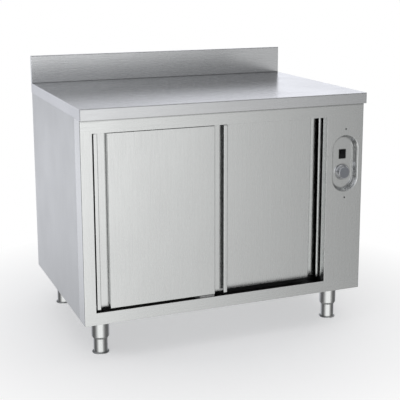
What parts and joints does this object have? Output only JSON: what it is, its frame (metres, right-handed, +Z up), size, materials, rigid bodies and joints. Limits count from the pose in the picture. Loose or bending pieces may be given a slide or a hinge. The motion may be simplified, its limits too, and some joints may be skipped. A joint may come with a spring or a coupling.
{
  "type": "heated plate cabinet",
  "caption": "Stainless heated plate cabinet with a worktop and rear upstand, two overlapping sliding doors, a recessed control dish and adjustable tubular legs.",
  "frame": {"origin": "centre of the overall box at floor level, under the middle of the worktop", "axes": "+X to the right as seen from the front, +Y from the front to the rear, +Z up; the doors face -Y"},
  "size_m": [1, 0.7, 0.923],
  "materials": {
    "brushed_stainless": "brushed",
    "pressed_stainless": "satin",
    "polished_stainless": "polished",
    "galvanised_steel": "satin",
    "zinc_fasteners": "satin",
    "mineral_wool": "matte",
    "nylon": "matte",
    "black_plastic": "satin",
    "grey_lens": "gloss",
    "metallised_knob": "satin",
    "element_sheath": "matte",
    "cast_aluminium": "satin",
    "motor_paint": "satin"
  },
  "bodies": {
    "cabinet": {"base_panel": "galvanised_steel", "bottom_guide": "nylon", "cable_gland": "black_plastic", "control_dish": "pressed_stainless", "dish_screws": "zinc_fasteners", "door_track": "galvanised_steel", "fan_bracket": "galvanised_steel", "fan_motor": "motor_paint", "front_frame": "brushed_stainless", "heater_duct": "galvanised_steel", "heating_element": "element_sheath", "insulation_left": "mineral_wool", "insulation_rear": "mineral_wool", "insulation_top": "mineral_wool", "left_side_panel": "brushed_stainless", "leg_front_left": "polished_stainless", "leg_front_right": "polished_stainless", "leg_rear_left": "polished_stainless", "leg_rear_right": "polished_stainless", "leg_screws": "zinc_fasteners", "liner_ceiling": "brushed_stainless", "liner_floor": "brushed_stainless", "liner_left": "brushed_stainless", "liner_rear": "brushed_stainless", "partition": "brushed_stainless", "rear_panel": "galvanised_steel", "rear_panel_screws": "zinc_fasteners", "right_side_panel": "brushed_stainless", "safety_thermostat": "black_plastic", "shelf": "brushed_stainless", "shelf_bearer_left": "brushed_stainless", "shelf_bearer_right": "brushed_stainless", "switch_body": "black_plastic", "terminal_block": "nylon", "thermostat": "black_plastic", "worktop": "brushed_stainless", "worktop_stiffener_front": "galvanised_steel", "worktop_stiffener_rear": "galvanised_steel"},
    "left_door": {"left_door_skin": "brushed_stainless", "left_door_back": "brushed_stainless", "left_door_hanger_left": "galvanised_steel", "left_door_hanger_right": "galvanised_steel", "left_door_roller_pins": "zinc_fasteners"},
    "left_door_left_wheel": {"left_door_roller_left": "nylon"},
    "left_door_right_wheel": {"left_door_roller_right": "nylon"},
    "right_door": {"right_door_skin": "brushed_stainless", "right_door_back": "brushed_stainless", "right_door_hanger_left": "galvanised_steel", "right_door_hanger_right": "galvanised_steel", "right_door_roller_pins": "zinc_fasteners"},
    "right_door_left_wheel": {"right_door_roller_left": "nylon"},
    "right_door_right_wheel": {"right_door_roller_right": "nylon"},
    "thermostat_knob": {"knob": "metallised_knob", "thermostat_spindle": "zinc_fasteners"},
    "switch_rocker": {"rocker": "grey_lens"},
    "fan_rotor": {"fan_wheel": "cast_aluminium"},
    "adjustable_foot_front_left": {"foot_front_left": "polished_stainless"},
    "adjustable_foot_front_right": {"foot_front_right": "polished_stainless"},
    "adjustable_foot_rear_left": {"foot_rear_left": "polished_stainless"},
    "adjustable_foot_rear_right": {"foot_rear_right": "polished_stainless"}
  },
  "joints": [
    {"name": "left_door_slide", "type": "slide", "parent": "cabinet", "child": "left_door", "axis": [1, 0, 0], "range_m": [0, 0.35675]},
    {"name": "right_door_slide", "type": "slide", "parent": "cabinet", "child": "right_door", "axis": [1, 0, 0], "range_m": [-0.36355, 0]},
    {"name": "left_door_left_wheel_spin", "type": "hinge", "parent": "left_door", "child": "left_door_left_wheel", "pos_m": [-0.3861, -0.322, 0.7743], "axis": [0, 1, 0], "range_deg": [0, 2580.6]},
    {"name": "left_door_right_wheel_spin", "type": "hinge", "parent": "left_door", "child": "left_door_right_wheel", "pos_m": [-0.07815, -0.322, 0.7743], "axis": [0, 1, 0], "range_deg": [0, 2580.6]},
    {"name": "right_door_left_wheel_spin", "type": "hinge", "parent": "right_door", "child": "right_door_left_wheel", "pos_m": [-0.02215, -0.292, 0.7743], "axis": [0, 1, 0], "range_deg": [-2629.8, 0]},
    {"name": "right_door_right_wheel_spin", "type": "hinge", "parent": "right_door", "child": "right_door_right_wheel", "pos_m": [0.2858, -0.292, 0.7743], "axis": [0, 1, 0], "range_deg": [-2629.8, 0]},
    {"name": "knob_turn", "type": "hinge", "parent": "cabinet", "child": "thermostat_knob", "pos_m": [0.427, -0.3385, 0.5483], "axis": [0, 1, 0], "range_deg": [0, 270]},
    {"name": "rocker_tilt", "type": "hinge", "parent": "cabinet", "child": "switch_rocker", "pos_m": [0.427, -0.3203, 0.6108], "axis": [-1, 0, 0], "range_deg": [0, 20]},
    {"name": "fan_spin", "type": "hinge", "parent": "cabinet", "child": "fan_rotor", "pos_m": [0.3842, -0.0004, 0.468], "axis": [1, 0, 0], "continuous": true},
    {"name": "foot_front_left_adjust", "type": "slide", "parent": "cabinet", "child": "adjustable_foot_front_left", "axis": [0, 0, -1], "range_m": [0, 0.05]},
    {"name": "foot_front_right_adjust", "type": "slide", "parent": "cabinet", "child": "adjustable_foot_front_right", "axis": [0, 0, -1], "range_m": [0, 0.05]},
    {"name": "foot_rear_left_adjust", "type": "slide", "parent": "cabinet", "child": "adjustable_foot_rear_left", "axis": [0, 0, -1], "range_m": [0, 0.05]},
    {"name": "foot_rear_right_adjust", "type": "slide", "parent": "cabinet", "child": "adjustable_foot_rear_right", "axis": [0, 0, -1], "range_m": [0, 0.05]}
  ],
  "couplings": [
    {"joint": "left_door_left_wheel_spin", "follows": "left_door_slide", "rad_per_m": 125},
    {"joint": "left_door_right_wheel_spin", "follows": "left_door_slide", "rad_per_m": 125},
    {"joint": "right_door_left_wheel_spin", "follows": "right_door_slide", "rad_per_m": 125},
    {"joint": "right_door_right_wheel_spin", "follows": "right_door_slide", "rad_per_m": 125}
  ]
}
